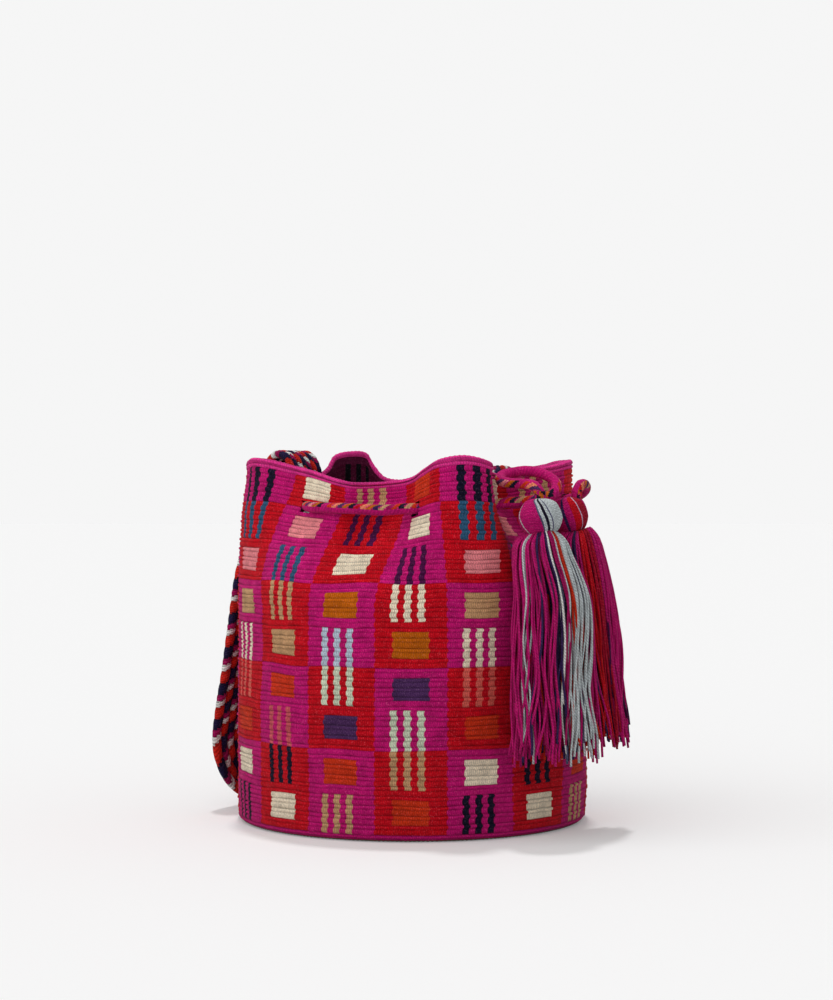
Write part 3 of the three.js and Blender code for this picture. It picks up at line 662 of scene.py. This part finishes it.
def strapPath():
    # The strap's middle line with the way that its face turns, a step apart.
    rows = np.array(strapRoute)
    block, level, out = rows[:, 0], rows[:, 1], rows[:, 2]
    outward = wallOutward(block, level)
    forward = np.stack([-outward[:, 1], outward[:, 0], np.zeros(len(rows))], axis=1)
    tilt, lean = np.radians(rows[:, 3])[:, None], np.radians(rows[:, 4])[:, None]
    face = outward * np.cos(tilt) + np.array([0, 0, 1.0]) * np.sin(tilt) - forward * np.sin(lean)
    middle = wallPoint(block, level) + outward * out[:, None]
    both, along = evenly(curveThrough(np.concatenate([middle, face], axis=1)), strap["step"])
    path = both[:, :3]
    tangent = unit(np.gradient(path, axis=0))
    across = unit(np.cross(both[:, 3:], tangent))
    return path, across, np.cross(tangent, across), along


def strapCell(phase):
    # Which cell of a rope each place lies in, and how far through it, from 0 to 1.
    lengths = np.array([length for _, length in strap["cells"]])
    starts = np.concatenate([[0], np.cumsum(lengths)])
    place = np.mod(phase, starts[-1])
    which = np.searchsorted(starts, place, side="right") - 1
    which = np.clip(which, 0, len(lengths) - 1)
    return which, (place - starts[which]) / lengths[which]


def makeStrap():
    # Ropes side by side, each a row of slanting cells of yarn, one colour after another, with painted shade at the
    # cells' edges.
    path, across, normal, along = strapPath()
    ropes, sides = strap["ropes"], strap["ropeSides"]
    rings = len(path)
    period = sum(length for _, length in strap["cells"])
    cellColours = np.array([linear(colour) for colour, _ in strap["cells"]])
    high = smooth(np.clip((path[:, 2] - strap["pinchFrom"]) / (strap["pinchFull"] - strap["pinchFrom"]), 0, 1))
    narrow = 1 - strap["pinch"] * high
    pitch = strap["width"] / ropes * narrow
    ends = np.sqrt(np.clip(np.minimum(along, along[-1] - along) / 0.003, 0.15, 1))
    turn = np.arange(sides) * 2 * math.pi / sides
    face = turn + math.pi / sides
    points, quads, colours, uvs, caps = [], [], [], [], []
    for k in range(ropes):
        wander = 0.0003 * np.sin(along / 0.017 + 1.9 * k)
        centre = path + across * ((k - (ropes - 1) / 2) * pitch * 0.985 + wander)[:, None]
        slant = strap["slant"] * strap["width"] / ropes / 2
        uneven = 0.0008 * np.sin(along / 0.023 + 4 * k)[:, None]
        start = k * strap["offset"] * period
        phase = along[:, None] + uneven + start - slant * np.cos(turn)
        _, through = strapCell(phase)
        bulge = 0.76 + 0.32 * np.sin(math.pi * through) ** 0.6
        arms = across[:, None] * (pitch[:, None] / 2 * np.cos(turn) * (0.96 + 0.08 * bulge))[..., None]
        arms = arms + normal[:, None] * (strap["thickness"] / 2 * 1.06 * np.sin(turn) * bulge)[..., None]
        points.append(centre[:, None] + arms * ends[:, None, None])
        quads.append(gridQuads(rings, sides, start=k * rings * sides))
        middle = (along[:-1, None] + along[1:, None]) / 2 + uneven[:-1] + start - slant * np.cos(face)
        which, inner = strapCell(middle)
        # Painted shade in the creases between cells, and painted light on their middles
        shade = 0.5 + 0.6 * np.sin(math.pi * inner) ** 0.6
        colours.append(cellColours[which] * shade[..., None])
        uv = np.zeros((rings - 1, sides, 4, 2))
        uv[..., 0, 0] = phase[:-1]
        uv[..., 1, 0] = np.roll(phase, -1, axis=1)[:-1]
        uv[..., 2, 0] = np.roll(phase, -1, axis=1)[1:]
        uv[..., 3, 0] = phase[1:]
        uvs.append(uv)
        first, last = k * rings * sides, (k + 1) * rings * sides - sides
        caps.append(range(first + sides - 1, first - 1, -1))
        caps.append(range(last, last + sides))
    piece = makePiece("strapRopes", np.concatenate(points), np.concatenate(quads).reshape(-1, 4),
                      np.concatenate(colours).reshape(-1, 3), np.concatenate(uvs), caps, [linear("plum")] * len(caps))
    piece.data.materials.append(yarnMaterial("strapCotton", "twist", pitch=(0.0017, 1), relief=0.0003))
    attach(piece, "bag")
    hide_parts("strap")
    print("strap", round(float(along[-1]), 4))


makeStrap()

# Tassels
tasselShape = {
    "strandRadius": 0.0008, "headRadius": 0.00085, "strandSides": 6, "neckRadius": 0.009, "neckDrop": 0.0235,
    "bindingHeight": 0.005, "headStrands": 76, "headTurn": 78,
    "skirtLayers": ((84, 1.0), (72, 0.86), (52, 0.66), (28, 0.4)),  # strands, and share of the width
    "wave": 0.0019, "trim": 0.005, "hangRise": 0.006,
}
headOutline = [(-0.0006, 0.0030, 0.0030), (0.0, 0.0066, 0.0066), (0.0013, 0.0104, 0.0098), (0.003, 0.012, 0.0112),
               (0.008, 0.015, 0.0135), (0.013, 0.016, 0.0145), (0.019, 0.0135, 0.0125), (0.0235, 0.0088, 0.0088),
               (0.0275, 0.0078, 0.0078)]
tassels = {
    "tassel_front": {
        "top": (37.6, 0.0171, 0.030), "foot": (38.0, 0.0191, 0.199), "faceTurn": 38, "halfWidth": 0.037,
        "halfDepth": 0.018, "headScale": 1.0, "headAside": (0.0, 0.0), "skirtAside": (0.0075, -0.0045), "shoulder": 1.28,
        "seed": 5,
        "bundles": {"magenta": (-190, -50), "violet": (-50, -18), "silver": (-18, 82), "rust": (82, 170)},
        "head": [(-190, "magenta"), (-118, "silver"), (-111, "magenta"), (-52, "slate"), (-46, "silver"),
                 (-34, "navy"), (-27, "silver"), (-18, "slate"), (-12, "silver"), (64, "magenta"), (150, "red")],
        "skirt": [(-190, "magenta"), (-84, "silver"), (-79, "magenta"), (-50, "violet"), (-41, "magenta"),
                  (-33, "violet"), (-27, "white"), (-21, "slate"), (-15, "deepMagenta"), (-8, "silver"), (-2, "slate"),
                  (4, "rust"), (11, "silver"), (19, "violet"), (22, "silver"), (33, "rust"), (37, "silver"),
                  (47, "slate"), (50, "silver"), (58, "magenta"), (84, "rust"), (110, "red"), (140, "navy")],
        "under": ["magenta", "deepMagenta", "magenta", "violet", "rust", "orange", "red", "navy", "silver", "magenta"],
    },
    "tassel_back": {
        "top": (54.6, 0.01435, 0.029), "foot": (63.4, 0.0221, 0.192), "faceTurn": 62, "halfWidth": 0.029,
        "halfDepth": 0.0165, "headScale": 0.85, "headAside": (-0.0045, 0.0), "skirtAside": (0.0, 0.0), "shoulder": 1.2,
        "seed": 9,
        "bundles": {"magenta": (-190, -40), "crimson": (-40, 50), "plum": (50, 170)},
        "head": [(-190, "magenta"), (-96, "violet"), (-88, "magenta"), (-66, "red"), (-38, "lilac"), (-32, "crimson"),
                 (10, "magenta"), (50, "plum")],
        "skirt": [(-190, "magenta"), (-80, "violet"), (-70, "magenta"), (-58, "red"), (-38, "crimson"), (-28, "plum"),
                  (-18, "magenta"), (50, "plum"), (80, "magenta")],
        "under": ["magenta", "crimson", "red", "plum", "magenta", "violet"],
    },
}
strandMaterial = yarnMaterial("twistedStrands", "twist", pitch=(0.0021, 0.5), relief=0.0002)
bindingMaterial = yarnMaterial("bindingYarn", "twist", pitch=(0.0021, 0.5), relief=0.0002)


def hangPoint(place):
    turn, out, below = place
    angle, radius = math.radians(turn), pouch["radius"] + out
    return np.array([radius * math.sin(angle), -radius * math.cos(angle), pouch["rimHeight"] - below])


def colourRound(bands, degrees):
    # The name of the band that each place round a tassel lies in.
    starts = np.array([b[0] for b in bands])
    return [bands[max(0, int(np.searchsorted(starts, d, side="right")) - 1)][1] for d in degrees]


def tasselPaths(tassel, random):
    # Every strand's path in the tassel's own frame, as (place round it, radius share, side, drop), with its colour.
    length = tassel["foot"][2] - tassel["top"][2]
    strands = []
    count = tasselShape["headStrands"]
    for k in range(count):
        degrees = -190 + 360 * (k + random.uniform(-0.15, 0.15)) / count
        strands.append({"head": True, "degrees": degrees, "layer": 1, "name": colourRound(tassel["head"], [degrees])[0]})
    for number, (amount, layer) in enumerate(tasselShape["skirtLayers"]):
        for k in range(amount):
            degrees = -190 + 360 * (k + 0.5 * (number % 2) + random.uniform(-0.8, 0.8)) / amount
            degrees = -190 + (degrees + 190) % 360
            name = colourRound(tassel["skirt"], [degrees])[0]
            if number > 0 and random.random() < (0.35 if number == 1 else 0.75):
                name = tassel["under"][random.integers(len(tassel["under"]))]
            strands.append({"head": False, "degrees": degrees, "layer": layer * random.uniform(0.94, 1.03), "name": name,
                            "length": length + random.normal(0, tasselShape["trim"]),
                            "drift": random.normal(0, 10), "phase": random.uniform(0, 6.28, 4),
                            "stray": random.random() < 0.05})
    return strands


def strandCurve(tassel, strand, rings):
    # One strand from where it starts to its end.
    topPoint, footPoint = hangPoint(tassel["top"]), hangPoint(tassel["foot"])
    turn = math.radians(tassel["faceTurn"])
    outward = np.array([math.sin(turn), -math.cos(turn), 0])
    sideways = np.array([math.cos(turn), math.sin(turn), 0])
    length = topPoint[2] - footPoint[2]
    neckEnd = tasselShape["neckDrop"] + tasselShape["bindingHeight"]
    if strand["head"]:
        rows = np.array(headOutline)
        drops, wides, deeps = rows.T
        share = np.linspace(0, 1, rings)
        place = np.interp(share, np.linspace(0, 1, len(rows)), np.arange(len(rows)))
        drop, wide, deep = [np.interp(place, np.arange(len(rows)), c) for c in (drops, wides, deeps)]
        wide, deep = [(a - tasselShape["headRadius"]) * tassel["headScale"] for a in (wide, deep)]
        degrees = strand["degrees"] + tasselShape["headTurn"] * (share - 0.5)
    else:
        layer = strand["layer"]
        lift = layer * (0.001 + 0.0034 * math.cos(math.radians(strand["degrees"])) ** 2
                        + 0.0008 * math.sin(strand["phase"][3]))
        rows = np.array([
            (neckEnd + 0.001, 0.0060, 0.0060), (neckEnd - 0.0035 - lift, 0.0088, 0.0086),
            (neckEnd - 0.0026 - lift, 0.0118, 0.0108), (neckEnd + 0.0020 - lift / 2, 0.0146, 0.0126),
            (neckEnd + 0.0105, 0.0175, 0.0138), (0.052, 0.0208, 0.0148), (0.085, 0.0246, 0.0152),
            ((0.085 + length) / 2, tassel["halfWidth"] * 0.93, tassel["halfDepth"] * 0.97),
            (strand["length"], tassel["halfWidth"], tassel["halfDepth"]),
        ])
        rows[3:7, 1:] *= tassel["shoulder"]
        rows[3:, 1:] *= layer
        rows[:3, 1:] *= 0.55 + 0.45 * layer
        fine = curveThrough(rows * [1, 1, 1], 12)
        even, _ = evenly(fine, 0.001)
        pick = np.interp(np.linspace(0, 1, rings) ** 1.15, np.linspace(0, 1, len(even)), np.arange(len(even)))
        drop, wide, deep = [np.interp(pick, np.arange(len(even)), even[:, c]) for c in range(3)]
        fall = np.clip((drop - neckEnd) / (length - neckEnd), 0, 1)
        degrees = strand["degrees"] + strand["drift"] * fall
        a, b, c, d = strand["phase"]
        wave = tasselShape["wave"] * fall ** 0.8 * (2.4 if strand["stray"] else 1)
        wide = wide + wave * np.sin(9 * fall + a)
        deep = deep + wave * np.sin(8 * fall + b)
        degrees = degrees + np.degrees(wave * np.sin(11 * fall + c) / 0.02)
    angle = np.radians(degrees)
    skin = 1 / np.hypot(np.cos(angle) / deep, np.sin(angle) / wide)
    leaning = np.clip((drop - neckEnd) / (length - neckEnd), 0, 1.1)[:, None]
    middle = topPoint + (footPoint - topPoint) * leaning
    middle[:, 2] = topPoint[2] - drop
    if strand["head"]:
        middle[:, :2] += tassel["headAside"]
    else:
        middle[:, :2] += smooth(np.clip(leaning * 3 + 0.08, 0, 1)) * tassel["skirtAside"]
    path = middle + outward * (skin * np.cos(angle))[:, None] + sideways * (skin * np.sin(angle))[:, None]
    tangentWay = -outward * math.sin(angle[0]) + sideways * math.cos(angle[0])
    return path, tangentWay


def makeTassel(name, tassel):
    random = np.random.default_rng(tassel["seed"])
    strands = tasselPaths(tassel, random)
    groups = {}
    for strand in strands:
        for colour, (start, end) in tassel["bundles"].items():
            if start <= strand["degrees"] < end:
                groups.setdefault((colour, strand["head"]), []).append(strand)
    total = 0
    for colour in tassel["bundles"]:
        points, quads, uvs, caps, colours, capColours, start = [], [], [], [], [], [], 0
        for head, rings in ((True, 16), (False, 38)):
            members = groups.get((colour, head), [])
            if not members:
                continue
            curves = [strandCurve(tassel, s, rings) for s in members]
            paths = np.stack([c[0] for c in curves])
            side = np.broadcast_to(np.stack([c[1] for c in curves])[:, None], paths.shape)
            tangent = unit(np.gradient(paths, axis=1))
            side = unit(side - tangent * np.sum(side * tangent, axis=-1, keepdims=True))
            up = np.cross(tangent, side)
            lengths = np.concatenate([np.zeros((len(paths), 1)),
                                      np.cumsum(np.linalg.norm(np.diff(paths, axis=1), axis=-1), axis=1)], axis=1)
            radius = np.full(paths.shape[:2], tasselShape["headRadius" if head else "strandRadius"])
            if not head:
                radius *= np.random.default_rng(tassel["seed"] + 1).uniform(0.9, 1.12, (len(paths), 1))
            lays = lengths + np.random.default_rng(tassel["seed"] + 2).uniform(0, 0.01, (len(paths), 1))
            p, q, uv, c = tubes(paths, radius, side, up, tasselShape["strandSides"], lays)
            points.append(p.reshape(-1, 3))
            quads.append(q.reshape(-1, 4) + start)
            caps.extend([[i + start for i in cap] for cap in c])
            uvs.append(uv.reshape(-1, 4, 2))
            shades = np.array([linear(s["name"]) for s in members])
            perFace = np.broadcast_to(shades[:, None, None], (len(members), rings - 1, tasselShape["strandSides"], 3))
            colours.append(perFace.reshape(-1, 3))
            capColours.extend(np.repeat(shades, 2, axis=0))
            start += p.size // 3
        piece = makePiece(name + "_" + colour, np.concatenate(points), np.concatenate(quads), np.concatenate(colours),
                          np.concatenate(uvs), caps, np.array(capColours))
        piece.data.materials.append(strandMaterial)
        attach(piece, name)
        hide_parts(name + "_" + colour + "_strands")
        total += len(piece.data.polygons)
    makeBinding(name, tassel)
    makeCordEnd(name, tassel)
    print(name, total)


def makeBinding(name, tassel):
    # Yarn wound four times round the neck.
    top = hangPoint(tassel["top"])
    turns = np.linspace(0, 4 * 2 * math.pi, 130)
    radius = tasselShape["neckRadius"] + 0.0002
    drop = tasselShape["neckDrop"] - 0.0002 + 0.0042 * turns / turns[-1]
    path = np.stack([top[0] + radius * np.cos(turns), top[1] + radius * np.sin(turns), top[2] - drop], axis=1)
    side = np.broadcast_to(np.array([0, 0, 1.0]), path.shape)
    tangent = unit(np.gradient(path, axis=0))
    side = unit(side - tangent * np.sum(side * tangent, axis=-1, keepdims=True))
    up = np.cross(tangent, side)
    along = radius * turns
    p, q, uv, caps = tubes(path[None], np.full((1, len(path)), 0.00095), side[None], up[None], 8, along[None])
    colours = np.tile(np.array(linear("deepMagenta")), (q.size // 4, 1))
    piece = makePiece(name + "_neckYarn", p, q.reshape(-1, 4), colours, uv, caps, [linear("deepMagenta")] * 2)
    piece.data.materials.append(bindingMaterial)
    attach(piece, name)
    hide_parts(name + "_binding")


def makeCordEnd(name, tassel):
    # The cord's last stretch, which hangs and swings with the tassel.
    top = hangPoint(tassel["top"])
    drop = np.linspace(-tasselShape["hangRise"], 0.010, 14)
    path = np.stack([np.full(14, top[0]), np.full(14, top[1]), top[2] - drop], axis=1)
    way = np.array([math.sin(math.radians(tassel["faceTurn"])), -math.cos(math.radians(tassel["faceTurn"])), 0.0])
    piece = braidedCord(name + "_cordEnd", path, drop - drop[0], np.broadcast_to(way, path.shape))
    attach(piece, name)


for tasselName, tasselValues in tassels.items():
    makeTassel(tasselName, tasselValues)

# Seams
seam = {"thickness": 0.0026, "stitches": 9, "length": 0.048, "below": 0.0035, "reach": 0.0085}
seamMaterial = yarnMaterial("sewingYarn", "twist", pitch=(0.002, 1.0), relief=0.0002)


def makeSeam(name, row):
    # Overcast stitches across the strap's end, from the wall below it up over its edge.
    block, level = row[0], row[1]
    reach = seam["length"] / 2 / pouch["radius"] * pouch["blocks"] / (2 * math.pi)
    paths = []
    for k in range(seam["stitches"]):
        place = block + reach * (2 * k / (seam["stitches"] - 1) - 1)
        rows = []
        for up, out, shift in ((-0.0045, -0.0030, 0), (-0.0042, -0.0058, 0.02), (-0.001, -0.0085, 0.05),
                               (0.0035, -0.0130, 0.08), (0.0062, -0.0150, 0.1)):
            at = wallPoint(place + shift, level + up) + wallOutward(place + shift, level + up) * out
            rows.append(at)
        paths.append(evenly(curveThrough(rows, 8), 0.0015)[0][:12])
    paths = [np.array([np.interp(np.linspace(0, 1, 12), np.linspace(0, 1, len(p)), p[:, c]) for c in range(3)]).T
             for p in paths]
    paths = np.stack(paths)
    tangent = unit(np.gradient(paths, axis=1))
    side = unit(np.cross(tangent, np.broadcast_to(np.array([0.3, 0.2, 1.0]), paths.shape)))
    up = np.cross(tangent, side)
    along = np.broadcast_to(np.linspace(0, 0.015, 12), paths.shape[:2])
    p, q, uv, caps = tubes(paths, np.full(paths.shape[:2], seam["thickness"] / 2), side, up, 8, along)
    colours = np.tile(np.array(linear("deepMagenta")), (q.size // 4, 1))
    piece = makePiece(name + "_stitches", p, q.reshape(-1, 4), colours, uv, caps, [linear("deepMagenta")] * len(caps))
    piece.data.materials.append(seamMaterial)
    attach(piece, "bag")
    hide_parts(name)


makeSeam("strap_seam_left", strapRoute[0])
makeSeam("strap_seam_right", strapRoute[-1])
print("seams")

# Floor and light: a pale studio, with the key from the left
studio = {
    "floor": 0.945, "floorBounce": 0.55, "background": 0.92, "world": 0.48, "floorSize": 40,
    "shadowShare": 0.85,  # how much of the shadow on the floor the camera sees
    "suns": {"top": (0.95, 5, (-12, 2)), "left": (1.0, 85, (50, -42))},  # power, spread, tilt and turn in degrees
}
floorMaterial = bpy.data.materials.new("studioFloor")
floorMaterial.use_nodes = True
floorShader = floorMaterial.node_tree.nodes["Principled BSDF"]
floorShader.inputs["Roughness"].default_value = 1
floorShader.inputs["Specular IOR Level"].default_value = 0
floorTone = addNode(floorMaterial, "ShaderNodeMapRange", {"To Min": studio["floorBounce"], "To Max": studio["floor"]})
glow = addNode(floorMaterial, "ShaderNodeEmission", {"Strength": studio["background"]})
floorRays = addNode(floorMaterial, "ShaderNodeLightPath")
floorMaterial.node_tree.links.new(floorRays.outputs["Is Camera Ray"], floorTone.inputs["Value"])
floorMaterial.node_tree.links.new(floorTone.outputs[0], floorShader.inputs["Base Color"])
seenShare = addNode(floorMaterial, "ShaderNodeMath", {"operation": "MULTIPLY", 1: 1 - studio["shadowShare"]},
                    i0=floorRays.outputs["Is Camera Ray"])
floorMix = addNode(floorMaterial, "ShaderNodeMixShader", i0=seenShare.outputs[0], i1=floorShader.outputs[0],
                   i2=glow.outputs[0])
floorOutput = floorMaterial.node_tree.nodes["Material Output"]
floorMaterial.node_tree.links.new(floorMix.outputs[0], floorOutput.inputs["Surface"])
half = studio["floorSize"] / 2
floorMesh = bpy.data.meshes.new("studioFloor")
floorMesh.from_pydata([(-half, -half, 0), (half, -half, 0), (half, half, 0), (-half, half, 0)], [], [(0, 1, 2, 3)])
floorMesh.materials.append(floorMaterial)
floor = bpy.data.objects.new("studioFloor", floorMesh)
bpy.context.scene.collection.objects.link(floor)

world = bpy.data.worlds.new("studioWorld")
world.use_nodes = True
bpy.context.scene.world = world
tree = world.node_tree
background = tree.nodes["Background"]
background.inputs["Color"].default_value = (1, 1, 1, 1)
background.inputs["Strength"].default_value = studio["world"]
seen = tree.nodes.new("ShaderNodeBackground")
seen.inputs["Color"].default_value = (1, 1, 1, 1)
seen.inputs["Strength"].default_value = studio["background"]
rays = tree.nodes.new("ShaderNodeLightPath")
mix = tree.nodes.new("ShaderNodeMixShader")
tree.links.new(rays.outputs["Is Camera Ray"], mix.inputs[0])
tree.links.new(background.outputs[0], mix.inputs[1])
tree.links.new(seen.outputs[0], mix.inputs[2])
tree.links.new(mix.outputs[0], tree.nodes["World Output"].inputs["Surface"])

for sunName, (power, spread, (tilt, turn)) in studio["suns"].items():
    sunData = bpy.data.lights.new(sunName, "SUN")
    sunData.energy = power
    sunData.angle = math.radians(spread)
    sun = bpy.data.objects.new(sunName, sunData)
    sun.rotation_euler = (math.radians(tilt), 0, math.radians(turn))
    bpy.context.scene.collection.objects.link(sun)
bpy.context.scene.view_settings.view_transform = "Standard"
print("studio")
